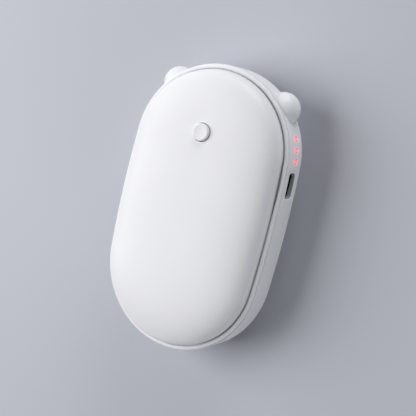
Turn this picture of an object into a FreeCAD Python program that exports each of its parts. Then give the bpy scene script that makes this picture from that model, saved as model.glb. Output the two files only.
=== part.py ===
import FreeCAD, Part
import math
import os

from FreeCAD import Vector

# A pocket hand warmer that charges through a USB-C socket. It lies on its back:
# +Z is the front, with the button, +Y points to the two ears and +X to the side
# with the socket. The origin is the middle of the flat pad that it rests on.

# Body outline: an oval of two round ends and two slightly bowed sides
body_length = 105.0
body_width = 63.2
side_bow = 0.6
band_height = 13.0
front_rise = 8.0
rear_rise = 7.0
front_crown_radius = 2.85
rear_pad_radius = 6.85

# Middle frame: a band with a rounded lip on each edge
frame_wall = 2.85
lip_width = 1.65
lip_setback = 0.3
lip_crown = 0.35
crease_drop = 1.1
crease_width = 0.3
crease_depth = 0.3
shoulder_radius = 0.3
groove_gap = 0.5
ledge_depth = 1.1

# Covers: a domed shell with a skirt that snaps inside the frame. Their section is one
# smooth curve, and the two shares say how full it is at its edge and at its crown
edge_fullness_share = 0.85
crown_fullness_share = 0.7
roof_wall = 2.8
floor_wall = 2.2
inner_run = 12.0
inner_drop = 2.0
skirt_wall = 1.2
skirt_clearance = 0.2
skirt_board_gap = 0.6
snap_reach = 0.4
snap_height = 0.8
snap_play = 0.25

# Ears: two rounded knobs moulded on the band
ear_angle = 43.8
ear_radius = 6.0
ear_half_depth = 5.6
ear_proud = 4.8
ear_offset = 0.3
ear_wall = 2.2
ear_core_radius = 2.6

# Button on the front
button_setback = 24.7
button_radius = 3.1
button_clearance = 0.25
button_proud = 1.05
button_edge = 0.5
button_dish = 0.18
button_flange_radius = 4.4
button_flange_height = 1.0
button_stem_width = 4.4
button_stem_rib = 1.2

# USB-C socket on the right side
usb_setback = 35.6
usb_lift = 0.1
usb_width = 8.94
usb_height = 3.16
usb_length = 7.35
usb_wall = 0.3
usb_recess = 0.9
usb_clearance = 0.15
usb_mouth_room = 1.0
usb_mouth_corner = 1.3
usb_back = 2.0
usb_tongue_width = 6.69
usb_tongue_height = 0.7
usb_tongue_length = 4.4
usb_contacts_per_side = 12
usb_contact_pitch = 0.5
usb_contact_width = 0.25
usb_contact_height = 0.08
usb_contact_length = 3.6
usb_contact_setback = 0.4

# Indicators: three lights in a row above the socket
led_count = 3
led_rise = 12.5
led_pitch = 3.95
led_width = 1.6
led_depth = 0.9
led_height = 1.1
led_gap = 0.3
pin_radius = 1.0
pin_clearance = 0.1
pin_setback = 0.05
pipe_depth = 1.4
pipe_height = 1.4
pipe_margin = 2.2
pipe_gap = 0.3

# Main board and its parts
board_thickness = 0.8
board_clearance = 0.35
board_margin = 2.0
board_pad_height = 0.4
switch_width = 6.0
switch_height = 3.5
plunger_radius = 1.75
plunger_rise = 1.5
plunger_depth = 1.9
plunger_clearance = 0.15
plunger_travel = 0.35
chip_width = 6.0
chip_height = 0.9
chip_x = -13.0
chip_rise = 5.2
coil_width = 6.2
coil_height = 3.0
coil_corner = 1.0
coil_edge = 10.4
coil_drop = 7.3
transistor_count = 2
transistor_width = 3.3
transistor_height = 1.0
transistor_x = 13.0
transistor_pitch = 6.0
capacitor_count = 5
capacitor_length = 1.6
capacitor_width = 0.8
capacitor_height = 0.8
capacitor_pitch = 2.4
capacitor_rise = 8.7

# Inner chassis: a plate with a tray for the cell
chassis_thickness = 1.4
chassis_clearance = 0.3
tray_side_room = 7.25
tray_clearance = 0.85
tray_wall = 1.0
tray_depth = 2.8
cell_clearance = 0.3
cell_thickness = 12.0
cell_corner = 2.4
cell_gap = 2.0
guard_thickness = 1.0
guard_width = 24.0
guard_height = 4.6
guard_lift = 5.6

# Screws and the bosses that take them
screw_radius = 1.0
screw_length = 5.2
screw_head_radius = 1.9
screw_head_height = 1.2
screw_clearance = 0.15
thread_clearance = 0.05
boss_inset = 7.2
boss_radius = 2.4
boss_clearance = 0.4
boss_rib = 1.6
boss_hole_end = 0.6
upper_boss_angle = 60.0
lower_boss_angle = 70.0
board_screw_x = 14.0
board_screw_edge = 3.0
board_post_radius = 2.2
board_post_depth = 4.6
board_screw_length = 4.2

# Heaters: a plate and a film on each cover, with foam behind them
heater_margin = 0.4
plate_thickness = 0.8
film_thickness = 0.3
film_margin = 0.5
heater_hole_margin = 1.2
foam_margin = 0.5
foam_edge = 1.0
thermistor_length = 2.6
thermistor_width = 1.8
thermistor_height = 1.2
thermistor_drop = 10.9

# Leads
lead_radius = 0.6
lead_bend = 2.0
lead_hole_clearance = 0.5
battery_lead_x = 4.0
battery_lead_reach = 3.6
heater_lead_x = 8.5
front_lead_edge = 3.1
rear_lead_edge = 8.4
lead_jog = 4.6
fine_lead_radius = 0.3
fine_lead_bend = 1.5
fine_lead_pitch = 1.4

# Every cut runs this far past what it cuts
overrun = 2.0

UP = Vector(0, 0, 1)
OUTWARD = Vector(1, 0, 0)

# Sizes that follow from those above
half_width = body_width / 2
half_length = body_length / 2
end_radius = half_width - side_bow
end_centre = half_length - end_radius
side_radius = (half_width ** 2 + end_centre ** 2 - end_radius ** 2) / (2 * side_bow)
side_centre = side_radius - half_width
join_angle = math.degrees(math.atan2(end_centre, side_centre))

half_band = band_height / 2
middle = rear_rise + half_band
front_edge = middle + half_band
front_top = front_edge + front_rise
front_ledge = half_band - ledge_depth

cover_inset = lip_width + groove_gap
skirt_outside = frame_wall + skirt_clearance
skirt_inside = skirt_outside + skirt_wall
roof = front_top - roof_wall
floor = floor_wall

button_y = half_length - button_setback
usb_y = half_length - usb_setback
usb_z = middle + usb_lift
board_top = usb_z - usb_height / 2
board_bottom = board_top - board_thickness
board_inset = frame_wall + board_clearance
board_edge = usb_y - usb_width / 2 - board_margin
skirt_end = middle - board_bottom + skirt_board_gap
snap_middle = (front_ledge + skirt_end) / 2
chassis_top = board_bottom - board_pad_height
chassis_bottom = chassis_top - chassis_thickness
chassis_inset = skirt_inside + chassis_clearance
boss_reach = end_radius - boss_inset
boss_top = middle + skirt_end - boss_clearance
plunger_top = board_top + switch_height + plunger_rise

cell_low = chassis_top - tray_depth
cell_high = cell_low + cell_thickness
tray_low = cell_low - tray_wall
tray_half = half_width - frame_wall - tray_side_room
tray_inset = skirt_inside + tray_clearance
tray_start = -end_centre - math.sqrt((end_radius - tray_inset) ** 2 - tray_half ** 2)
cell_half = tray_half - tray_wall - cell_clearance
cell_start = tray_start + tray_wall + cell_clearance
cell_end = board_edge - cell_gap
tray_end = cell_end + cell_clearance + tray_wall

plate_inset = skirt_inside + inner_run + heater_margin
plate_hole_radius = button_flange_radius + heater_hole_margin
film_inset = plate_inset + film_margin
film_hole_radius = plate_hole_radius + film_margin
foam_inset = film_inset + foam_margin
front_plate_low = roof - plate_thickness
front_film_low = front_plate_low - film_thickness
rear_film_low = floor + plate_thickness
rear_film_high = rear_film_low + film_thickness
foam_end = cell_end - foam_edge

# The oval as centre, radius, first angle and sweep of its four arcs
OVAL_ARCS = (
    (Vector(-side_centre, 0, 0), side_radius, -join_angle, 2 * join_angle),
    (Vector(0, end_centre, 0), end_radius, join_angle, 180 - 2 * join_angle),
    (Vector(side_centre, 0, 0), side_radius, 180 - join_angle, 2 * join_angle),
    (Vector(0, -end_centre, 0), end_radius, 180 + join_angle, 180 - 2 * join_angle),
)


# Shape helpers

def fused(shapes):
    whole = shapes[0].multiFuse(shapes[1:]) if len(shapes) > 1 else shapes[0]
    return whole.removeSplitter()


def box(x, y, z):
    """A box from three (low, high) pairs."""
    return Part.makeBox(x[1] - x[0], y[1] - y[0], z[1] - z[0], Vector(x[0], y[0], z[0]))


def centred_box(width, depth, low, high, x=0, y=0):
    return box((x - width / 2, x + width / 2), (y - depth / 2, y + depth / 2), (low, high))


def edges_along(solid, direction):
    return [edge for edge in solid.Edges if abs(edge.tangentAt(edge.FirstParameter).dot(direction)) > 1 / 2]


def rounded_box(x, y, z, corner):
    solid = box(x, y, z)
    return solid.makeFillet(corner, edges_along(solid, UP))


def post(radius, low, high, x=0, y=0):
    return Part.makeCylinder(radius, high - low, Vector(x, y, low))


def oval_plate(inset, low, high):
    """A plate with the body's outline, set in from it."""
    edges = [
        Part.makeCircle(radius - inset, centre, UP, start, start + sweep)
        for centre, radius, start, sweep in OVAL_ARCS
    ]
    plate = Part.Face(Part.Wire(edges)).extrude(UP * (high - low))
    plate.translate(UP * low)
    return plate


def at(inset, height):
    """A profile point, by its distance in from the body's outline."""
    return Vector(-inset, 0, height)


def path(points):
    return [Part.makeLine(a, b) for a, b in zip(points, points[1:])]


def arc(first, between, last):
    return Part.Arc(first, between, last).toShape()


def pillow_curve(edge, crown):
    """One smooth curve, upright at the edge and level at the crown, fuller than an ellipse."""
    corner = Vector(edge.x, 0, crown.z)
    over_edge = edge + (corner - edge) * edge_fullness_share
    beside_crown = crown + (corner - crown) * crown_fullness_share
    curve = Part.BezierCurve()
    curve.setPoles([edge, over_edge, beside_crown, crown])
    return curve.toShape()


def swept(edges):
    """The solid that a closed profile makes when it is carried round the oval."""
    profile = Part.Face(Part.Wire(Part.__sortEdges__(edges)))
    pieces = []
    for centre, radius, start, sweep in OVAL_ARCS:
        face = profile.translated(Vector(radius, 0, 0))
        face.rotate(Vector(), UP, start)
        solid = face.revolve(Vector(), UP, sweep)
        solid.translate(centre)
        pieces.append(solid)
    return fused(pieces)


def around_end(shape, angle, end=1):
    """Turns a shape about the middle of a round end and carries it there."""
    turned = shape.rotated(Vector(), UP, angle)
    turned.translate(Vector(0, end * end_centre, 0))
    return turned


def end_place(reach, angle, end=1):
    turn = math.radians(angle)
    return Vector(reach * math.cos(turn), end * end_centre + reach * math.sin(turn), 0)


def boss_places():
    """The four screw places, with the lowest face of the boss above each."""
    places = []
    for angle in (upper_boss_angle, 180 - upper_boss_angle):
        places.append((end_place(boss_reach, angle), angle, 1, board_top))
    for angle in (-lower_boss_angle, lower_boss_angle - 180):
        places.append((end_place(boss_reach, angle, -1), angle, -1, chassis_top))
    return places


def slot_prism(width, height, start, end):
    """A bar along X with round short sides, at the height of the socket."""
    flat = (width - height) / 2
    radius = height / 2
    top, bottom = usb_z + radius, usb_z - radius
    left, right = usb_y - flat, usb_y + flat
    edges = [
        Part.makeLine(Vector(start, left, top), Vector(start, right, top)),
        arc(Vector(start, right, top), Vector(start, right + radius, usb_z), Vector(start, right, bottom)),
        Part.makeLine(Vector(start, right, bottom), Vector(start, left, bottom)),
        arc(Vector(start, left, bottom), Vector(start, left - radius, usb_z), Vector(start, left, top)),
    ]
    return Part.Face(Part.Wire(edges)).extrude(Vector(end - start, 0, 0))


def lead(points, radius, bend):
    """A wire along straight runs joined by tangent arcs."""
    edges = []
    here = points[0]
    for before, corner, after in zip(points, points[1:], points[2:]):
        back = (before - corner).normalize()
        ahead = (after - corner).normalize()
        half_turn = back.getAngle(ahead) / 2
        tangent = bend / math.tan(half_turn)
        middle_way = (back + ahead).normalize()
        inside = bend / math.sin(half_turn) - bend
        first, last = corner + back * tangent, corner + ahead * tangent
        edges.append(Part.makeLine(here, first))
        edges.append(arc(first, corner + middle_way * inside, last))
        here = last
    edges.append(Part.makeLine(here, points[-1]))
    route = Part.Wire(edges)
    ring = Part.Wire(Part.makeCircle(radius, points[0], points[1] - points[0]))
    wire = route.makePipeShell([ring], True, False)
    section = math.pi * radius ** 2
    print("lead volume", round(wire.Volume, 3), "section by length", round(section * route.Length, 3))
    return wire


def band_face_x(y):
    """How far out the right side of the band lies at a place along the body."""
    return math.sqrt(side_radius ** 2 - y ** 2) - side_centre


# Casing

def frame_ring():
    snap_low = snap_middle - snap_height / 2 - snap_play
    snap_high = snap_middle + snap_height / 2 + snap_play
    snap_inset = frame_wall + skirt_clearance - snap_reach - snap_play
    lip_edge = half_band - lip_crown
    lip_middle = (lip_width + lip_setback) / 2
    crease = half_band - crease_drop
    crease_high, crease_low = crease + crease_width / 2, crease - crease_width / 2
    shoulder = shoulder_radius * math.sin(math.pi / 4)
    edges = []
    for side in (1, -1):
        inner = [(frame_wall, 0), (frame_wall, snap_low), (snap_inset, snap_low), (snap_inset, snap_high)]
        inner += [(frame_wall, snap_high), (frame_wall, front_ledge), (lip_width, front_ledge)]
        lip_inside = at(lip_width, side * lip_edge)
        lip_outside = at(lip_setback, side * lip_edge)
        crease_tip = at(lip_setback + crease_depth, side * crease)
        shoulder_start = at(lip_setback, side * crease_low)
        shoulder_turn = at(lip_setback - shoulder, side * (crease_low - shoulder_radius + shoulder))
        shoulder_end = at(0, side * (crease_low - shoulder_radius))
        edges += path([at(inset, side * height) for inset, height in inner] + [lip_inside])
        edges.append(arc(lip_inside, at(lip_middle, side * half_band), lip_outside))
        edges += path([lip_outside, at(lip_setback, side * crease_high), crease_tip, shoulder_start])
        edges.append(arc(shoulder_start, shoulder_turn, shoulder_end))
        edges += path([shoulder_end, at(0, 0)])
    ring = swept(edges)
    ring.translate(UP * middle)
    return ring


def ear_angles():
    return (ear_angle, 180 - ear_angle)


def ear(angle):
    """A knob of revolution, rounder across the band than along the body's depth."""
    low, high = Vector(0, 0, -ear_half_depth), Vector(0, 0, ear_half_depth)
    ellipse = Part.Ellipse(Vector(ear_radius, 0, 0), high, Vector())
    rim = Part.ArcOfEllipse(ellipse, -math.pi / 2, math.pi / 2).toShape()
    half = Part.Face(Part.Wire([rim, Part.makeLine(high, low)]))
    knob = half.revolve(Vector(), UP, 360)
    knob.translate(Vector(end_radius + ear_proud - ear_radius, 0, middle - ear_offset))
    return around_end(knob, angle)


def ear_core(angle):
    """The round pocket that hollows an ear from inside the band."""
    start = end_radius - frame_wall - overrun
    end = end_radius + ear_proud - ear_wall
    base = Vector(start, 0, middle - ear_offset)
    return around_end(Part.makeCylinder(ear_core_radius, end - start, base, OUTWARD), angle)


def screw_boss(place, angle, end, low):
    boss = post(boss_radius, low, boss_top, place.x, place.y)
    weld = end_radius - frame_wall + frame_wall / 4
    rib = box((boss_reach, weld), (-boss_rib / 2, boss_rib / 2), (low, boss_top))
    return fused([boss, around_end(rib, angle, end)])


def led_angles():
    rise = usb_y + led_rise - end_centre
    middle_angle = math.degrees(math.asin(rise / end_radius))
    step = math.degrees(led_pitch / end_radius)
    return [middle_angle + (number - (led_count - 1) / 2) * step for number in range(led_count)]


def indicator_pin(radius, start, end, angle):
    base = Vector(start, 0, board_top + pipe_height / 2)
    return around_end(Part.makeCylinder(radius, end - start, base, OUTWARD), angle)


def socket_mouth():
    """The opening in the band that the socket sits behind."""
    wide = usb_width / 2 + usb_clearance
    tall = usb_height / 2 + usb_mouth_room
    depth = (half_width - frame_wall - overrun, half_width + overrun)
    opening = box(depth, (usb_y - wide, usb_y + wide), (usb_z - tall, usb_z + tall))
    return opening.makeFillet(usb_mouth_corner, edges_along(opening, OUTWARD))


def middle_frame():
    inside = oval_plate(lip_width / 2, 0, front_top)
    solid_ears = [ear(angle).cut(inside) for angle in ear_angles()]
    bosses = [screw_boss(*place) for place in boss_places()]
    frame = fused([frame_ring()] + solid_ears + bosses)
    cuts = [ear_core(angle) for angle in ear_angles()]
    thread_radius = screw_radius + thread_clearance
    for place, _, _, low in boss_places():
        cuts.append(post(thread_radius, low - overrun, boss_top - boss_hole_end, place.x, place.y))
    cuts.append(socket_mouth())
    hole_radius = pin_radius + pin_clearance
    hole_start = end_radius - frame_wall - overrun
    for angle in led_angles():
        cuts.append(indicator_pin(hole_radius, hole_start, end_radius + overrun, angle))
    return frame.cut(cuts).removeSplitter()


def cover(rise, crown_radius, wall):
    """A domed shell with its skirt, drawn as a front cover about the body's mid height."""
    top = half_band + rise
    under = top - wall
    crown_inset = end_radius - crown_radius
    curve_start = half_band - inner_drop
    snap_tip = skirt_outside - snap_reach
    edges = path([at(cover_inset, front_ledge), at(cover_inset, half_band)])
    edges.append(pillow_curve(at(cover_inset, half_band), at(crown_inset, top)))
    edges += path([at(crown_inset, top), at(crown_inset, under), at(skirt_inside + inner_run, under)])
    edges.append(pillow_curve(at(skirt_inside, curve_start), at(skirt_inside + inner_run, under)))
    edges += path([
        at(skirt_inside, curve_start),
        at(skirt_inside, skirt_end),
        at(skirt_outside, skirt_end),
        at(skirt_outside, snap_middle - snap_height / 2),
        at(snap_tip, snap_middle),
        at(skirt_outside, snap_middle + snap_height / 2),
        at(skirt_outside, front_ledge),
        at(cover_inset, front_ledge),
    ])
    return fused([swept(edges), oval_plate(crown_inset, under, top)])


def button_opening(radius):
    """A cutter for the front layers that the button passes through."""
    return post(radius, middle, front_top + overrun, 0, button_y)


def front_cover():
    shell = cover(front_rise, front_crown_radius, roof_wall)
    shell.translate(UP * middle)
    return shell.cut(button_opening(button_radius + button_clearance))


def rear_cover():
    shell = cover(rear_rise, rear_pad_radius, floor_wall).mirror(Vector(), UP)
    shell.translate(UP * middle)
    return shell


# Button and switch

def power_button():
    """A cap with a dished top, a flange that stops it under the cover and a ribbed stem."""
    top = front_top + button_proud
    edge_low = top - button_edge
    bottom = roof - button_flange_height
    turn = button_edge * math.sin(math.pi / 4)
    inner = button_radius - button_edge
    sphere = (inner ** 2 + button_dish ** 2) / (2 * button_dish)
    halfway = inner / 2
    halfway_height = top - button_dish + sphere - math.sqrt(sphere ** 2 - halfway ** 2)
    centre = Vector(0, 0, top - button_dish)
    edges = path([
        centre,
        Vector(0, 0, bottom),
        Vector(button_flange_radius, 0, bottom),
        Vector(button_flange_radius, 0, roof),
        Vector(button_radius, 0, roof),
        Vector(button_radius, 0, edge_low),
    ])
    rounding = Vector(inner + turn, 0, edge_low + turn)
    edges.append(arc(Vector(button_radius, 0, edge_low), rounding, Vector(inner, 0, top)))
    edges.append(arc(Vector(inner, 0, top), Vector(halfway, 0, halfway_height), centre))
    cap = Part.Face(Part.Wire(edges)).revolve(Vector(), UP, 360)
    stem_low = plunger_top
    ribs = [
        centred_box(button_stem_width, button_stem_rib, stem_low, bottom),
        centred_box(button_stem_rib, button_stem_width, stem_low, bottom),
    ]
    button = fused([cap] + ribs)
    button.translate(Vector(0, button_y, 0))
    return button


def tact_switch_base():
    high = board_top + switch_height
    base = centred_box(switch_width, switch_width, board_top, high, 0, button_y)
    well_radius = plunger_radius + plunger_clearance
    well_low = high - plunger_depth - plunger_travel - plunger_clearance
    return base.cut(post(well_radius, well_low, high + overrun, 0, button_y))


def tact_switch_plunger():
    return post(plunger_radius, board_top + switch_height - plunger_depth, plunger_top, 0, button_y)


# USB-C socket

usb_mouth = band_face_x(usb_y + usb_width / 2) - usb_recess
usb_rear = usb_mouth - usb_length
usb_floor = usb_rear + usb_back


def usb_shell():
    outside = slot_prism(usb_width, usb_height, usb_rear, usb_mouth)
    width, height = usb_width - 2 * usb_wall, usb_height - 2 * usb_wall
    return outside.cut(slot_prism(width, height, usb_rear - overrun, usb_mouth + overrun))


def usb_tongue():
    width, height = usb_width - 2 * usb_wall, usb_height - 2 * usb_wall
    block = slot_prism(width - 2 * usb_clearance, height, usb_rear, usb_floor)
    tongue = box(
        (usb_floor, usb_floor + usb_tongue_length),
        (usb_y - usb_tongue_width / 2, usb_y + usb_tongue_width / 2),
        (usb_z - usb_tongue_height / 2, usb_z + usb_tongue_height / 2),
    )
    return fused([block, tongue])


def usb_contacts():
    strips = []
    tip = usb_floor + usb_tongue_length - usb_contact_setback
    face = usb_tongue_height / 2
    for low, high in ((face, face + usb_contact_height), (-face - usb_contact_height, -face)):
        for number in range(usb_contacts_per_side):
            y = usb_y + (number - (usb_contacts_per_side - 1) / 2) * usb_contact_pitch
            sides = (y - usb_contact_width / 2, y + usb_contact_width / 2)
            strips.append(box((tip - usb_contact_length, tip), sides, (usb_z + low, usb_z + high)))
    return Part.makeCompound(strips)


# Indicator lights

pipe_outside = end_radius - frame_wall - pipe_gap
pipe_inside = pipe_outside - pipe_depth


def indicator_light_pipe():
    angles = led_angles()
    margin = math.degrees(pipe_margin / end_radius)
    first, last = angles[0] - margin, angles[-1] + margin
    low, high = UP * board_top, UP * (board_top + pipe_height)
    near, far = Vector(pipe_inside, 0, 0), Vector(pipe_outside, 0, 0)
    section = Part.Face(Part.makePolygon([near + low, far + low, far + high, near + high, near + low]))
    bar = around_end(section.revolve(Vector(), UP, last - first), first)
    start, end = pipe_inside + pipe_depth / 2, end_radius - pin_setback
    pins = [indicator_pin(pin_radius, start, end, angle) for angle in angles]
    limit = post(end_radius, board_top, board_top + pipe_height + pin_radius, 0, end_centre)
    return fused([bar] + [pin.common(limit) for pin in pins])


def indicator_leds():
    chips = []
    for angle in led_angles():
        outside = pipe_inside - led_gap
        sides = (-led_width / 2, led_width / 2)
        chip = box((outside - led_depth, outside), sides, (board_top, board_top + led_height))
        chips.append(around_end(chip, angle))
    return Part.makeCompound(chips)


# Main board

def board_screw_places():
    y = board_edge + board_screw_edge
    return [Vector(side * board_screw_x, y, 0) for side in (-1, 1)]


def main_board():
    blank = oval_plate(board_inset, board_bottom, board_top)
    below = box((-body_width, body_width), (-body_length, board_edge), (0, front_top))
    holes = [p for p, _, end, _ in boss_places() if end > 0] + board_screw_places()
    hole_radius = screw_radius + screw_clearance
    drills = [post(hole_radius, board_bottom - overrun, board_top + overrun, p.x, p.y) for p in holes]
    return blank.cut([below] + drills)


def controller_chip():
    high = board_top + chip_height
    return centred_box(chip_width, chip_width, board_top, high, chip_x, button_y + chip_rise)


def power_inductor():
    x = board_inset + coil_edge - half_width
    high = board_top + coil_height
    core = centred_box(coil_width, coil_width, board_top, high, x, button_y - coil_drop)
    return core.makeChamfer(coil_corner, edges_along(core, UP))


def heater_transistors():
    bodies = []
    for number in range(transistor_count):
        y = button_y + (number - (transistor_count - 1) / 2) * transistor_pitch
        high = board_top + transistor_height
        bodies.append(centred_box(transistor_width, transistor_width, board_top, high, transistor_x, y))
    return Part.makeCompound(bodies)


def board_capacitors():
    bodies = []
    for number in range(capacitor_count):
        x = (number - (capacitor_count - 1) / 2) * capacitor_pitch
        high = board_top + capacitor_height
        y = button_y + capacitor_rise
        bodies.append(centred_box(capacitor_width, capacitor_length, board_top, high, x, y))
    return Part.makeCompound(bodies)


# Chassis and cell

def inner_chassis():
    plate = oval_plate(chassis_inset, chassis_bottom, chassis_top)
    well_corner = cell_corner + cell_clearance
    tray_sides, tray_ends = (-tray_half, tray_half), (tray_start, tray_end)
    tray = rounded_box(tray_sides, tray_ends, (tray_low, chassis_top), well_corner + tray_wall)
    well_half = tray_half - tray_wall
    well_ends = (tray_start + tray_wall, tray_end - tray_wall)
    well = rounded_box((-well_half, well_half), well_ends, (cell_low, front_top), well_corner)
    upper_places = [place for place, _, end, _ in boss_places() if end > 0]
    pads = [post(boss_radius, chassis_bottom, board_bottom, p.x, p.y) for p in upper_places]
    post_low = board_bottom - board_post_depth
    posts = [post(board_post_radius, post_low, board_bottom, p.x, p.y) for p in board_screw_places()]
    body = fused([plate, tray] + pads + posts)
    cuts = [well]
    hole_radius = screw_radius + screw_clearance
    for place, _, _, _ in boss_places():
        cuts.append(post(hole_radius, chassis_bottom - overrun, board_bottom + overrun, place.x, place.y))
    thread_end = board_top - board_screw_length - boss_hole_end
    for place in board_screw_places():
        cuts.append(post(screw_radius + thread_clearance, thread_end, board_top, place.x, place.y))
    lead_hole_radius = lead_radius + lead_hole_clearance
    lead_y = board_edge + rear_lead_edge
    for side in (-1, 1):
        x = side * heater_lead_x
        cuts.append(post(lead_hole_radius, chassis_bottom - overrun, board_bottom, x, lead_y))
    return body.cut(cuts)


def battery_cell():
    return rounded_box((-cell_half, cell_half), (cell_start, cell_end), (cell_low, cell_high), cell_corner)


def battery_protection_board():
    low = cell_low + guard_lift
    sides = (-guard_width / 2, guard_width / 2)
    return box(sides, (cell_end, cell_end + guard_thickness), (low, low + guard_height))


# Heaters

def front_heat_plate():
    return oval_plate(plate_inset, front_plate_low, roof).cut(button_opening(plate_hole_radius))


def front_heater_film():
    return oval_plate(film_inset, front_film_low, front_plate_low).cut(button_opening(film_hole_radius))


def rear_heat_plate():
    return oval_plate(plate_inset, floor, rear_film_low)


def rear_heater_film():
    return oval_plate(film_inset, rear_film_low, rear_film_high)


def foam(low, high):
    above = box((-body_width, body_width), (foam_end, body_length), (low - overrun, high + overrun))
    return oval_plate(foam_inset, low, high).cut(above)


def front_foam_pad():
    return foam(cell_high, front_film_low)


def rear_foam_pad():
    return foam(rear_film_high, tray_low)


# Leads and the temperature sensor

def battery_lead(side):
    start = cell_end + guard_thickness
    height = board_top + lead_bend + lead_radius * 2
    landing = start + battery_lead_reach
    x = side * battery_lead_x
    route = [Vector(x, start, height), Vector(x, landing, height), Vector(x, landing, board_top)]
    return lead(route, lead_radius, lead_bend)


def battery_lead_positive():
    return battery_lead(1)


def battery_lead_negative():
    return battery_lead(-1)


def heater_leads(start, end, y):
    wires = []
    jog_height = (start + end) / 2
    for side in (-1, 1):
        x = side * heater_lead_x
        route = [Vector(x, y + lead_jog, start), Vector(x, y + lead_jog, jog_height)]
        route += [Vector(x, y, jog_height), Vector(x, y, end)]
        wires.append(lead(route, lead_radius, lead_bend))
    return Part.makeCompound(wires)


def front_heater_leads():
    return heater_leads(front_film_low, board_top, board_edge + front_lead_edge)


def rear_heater_leads():
    return heater_leads(rear_film_high, board_bottom, board_edge + rear_lead_edge)


def thermistor():
    low = front_film_low - thermistor_height
    y = button_y - thermistor_drop
    return centred_box(thermistor_width, thermistor_length, low, front_film_low, 0, y)


def thermistor_leads():
    wires = []
    start = front_film_low - thermistor_height
    jog_height = (start + board_top) / 2
    y = button_y - thermistor_drop
    for side in (-1, 1):
        x = side * fine_lead_pitch / 2
        route = [Vector(x, y, start), Vector(x, y, jog_height)]
        route += [Vector(x, y - lead_jog, jog_height), Vector(x, y - lead_jog, board_top)]
        wires.append(lead(route, fine_lead_radius, fine_lead_bend))
    return Part.makeCompound(wires)


# Screws

def screw(place, seat, length, up):
    """A pan-head screw whose head sits on a face, with the shank going up or down."""
    shank = post(screw_radius, seat, seat + length, 0, 0)
    head = post(screw_head_radius, seat - screw_head_height, seat, 0, 0)
    whole = fused([shank, head])
    if not up:
        whole = whole.mirror(Vector(0, 0, seat), UP)
    whole.translate(place)
    return whole


def chassis_screws():
    screws = [screw(place, chassis_bottom, screw_length, True) for place, _, _, _ in boss_places()]
    return Part.makeCompound(screws)


def board_screws():
    screws = [screw(place, board_top, board_screw_length, False) for place in board_screw_places()]
    return Part.makeCompound(screws)


PIECES = (
    front_cover,
    rear_cover,
    middle_frame,
    power_button,
    tact_switch_base,
    tact_switch_plunger,
    usb_shell,
    usb_tongue,
    usb_contacts,
    indicator_light_pipe,
    indicator_leds,
    main_board,
    controller_chip,
    power_inductor,
    heater_transistors,
    board_capacitors,
    inner_chassis,
    chassis_screws,
    board_screws,
    battery_cell,
    battery_protection_board,
    battery_lead_positive,
    battery_lead_negative,
    front_heat_plate,
    front_heater_film,
    front_heater_leads,
    front_foam_pad,
    rear_heat_plate,
    rear_heater_film,
    rear_heater_leads,
    rear_foam_pad,
    thermistor,
    thermistor_leads,
)

os.makedirs("parts", exist_ok=True)
for piece in PIECES:
    shape = piece()
    print(piece.__name__, len(shape.Solids), "solids", round(shape.Volume, 2), "mm3", shape.isValid())
    shape.exportStep("parts/" + piece.__name__ + ".step")
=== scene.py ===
import math

import bmesh
import bpy
from bpy.props import FloatProperty, FloatVectorProperty, IntProperty, PointerProperty
from bpy.types import Operator, Panel, PropertyGroup
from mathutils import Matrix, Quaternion, Vector
from mathutils.geometry import interpolate_bezier


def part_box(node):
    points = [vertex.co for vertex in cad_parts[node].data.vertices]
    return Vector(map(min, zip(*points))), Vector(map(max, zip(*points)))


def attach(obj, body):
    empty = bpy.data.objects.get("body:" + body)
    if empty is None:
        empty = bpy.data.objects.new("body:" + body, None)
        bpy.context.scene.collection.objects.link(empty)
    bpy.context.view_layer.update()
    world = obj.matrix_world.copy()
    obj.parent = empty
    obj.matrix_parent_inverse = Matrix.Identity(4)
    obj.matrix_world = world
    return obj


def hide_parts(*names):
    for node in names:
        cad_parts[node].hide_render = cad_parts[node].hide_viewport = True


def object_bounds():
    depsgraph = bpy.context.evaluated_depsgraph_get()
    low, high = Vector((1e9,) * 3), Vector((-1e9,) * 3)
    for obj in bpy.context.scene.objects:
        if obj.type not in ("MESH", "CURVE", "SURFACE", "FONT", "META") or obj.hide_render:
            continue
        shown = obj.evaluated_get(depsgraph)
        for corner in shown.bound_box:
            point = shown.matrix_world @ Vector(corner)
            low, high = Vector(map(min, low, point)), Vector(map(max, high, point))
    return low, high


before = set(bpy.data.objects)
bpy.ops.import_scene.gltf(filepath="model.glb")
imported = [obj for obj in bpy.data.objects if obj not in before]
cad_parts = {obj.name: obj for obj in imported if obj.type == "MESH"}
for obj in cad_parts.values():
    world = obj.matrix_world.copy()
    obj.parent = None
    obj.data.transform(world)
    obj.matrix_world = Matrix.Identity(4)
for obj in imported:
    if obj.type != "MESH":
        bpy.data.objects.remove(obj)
CAD_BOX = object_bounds()

bl_info = {
    "name": "Hand Warmer",
    "version": (1, 0, 0),
    "blender": (4, 5, 0),
    "location": "View3D > Sidebar > Hand Warmer",
    "description": "Models the moulded casing of a pocket hand warmer round its inner parts",
    "category": "Mesh",
}

# Corners of the pieces that the new ones stand for
BAND_LOW, BAND_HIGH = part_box("middle_frame")
FRONT_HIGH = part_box("front_cover")[1]
REAR_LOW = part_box("rear_cover")[0]
CAP_LOW, CAP_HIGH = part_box("power_button")
SOCKET_LOW, SOCKET_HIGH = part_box("usb_shell")
BOARD_LOW, BOARD_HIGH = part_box("main_board")
FRONT_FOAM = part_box("front_foam_pad")
REAR_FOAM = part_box("rear_foam_pad")

# Two points nearer than this count as one
SAME_PLACE = 1e-6
# Edges that turn by more than these are rounded, or not shaded smooth
ROUND_TURN = math.radians(60)
SMOOTH_TURN = math.radians(30)
CROWN_TURN = math.radians(25)
# Sides of a rod that is given no other count
ROD_STEPS = 64


def length(name, description, default):
    return FloatProperty(name=name, description=description, default=default, unit="LENGTH", precision=5)


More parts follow.
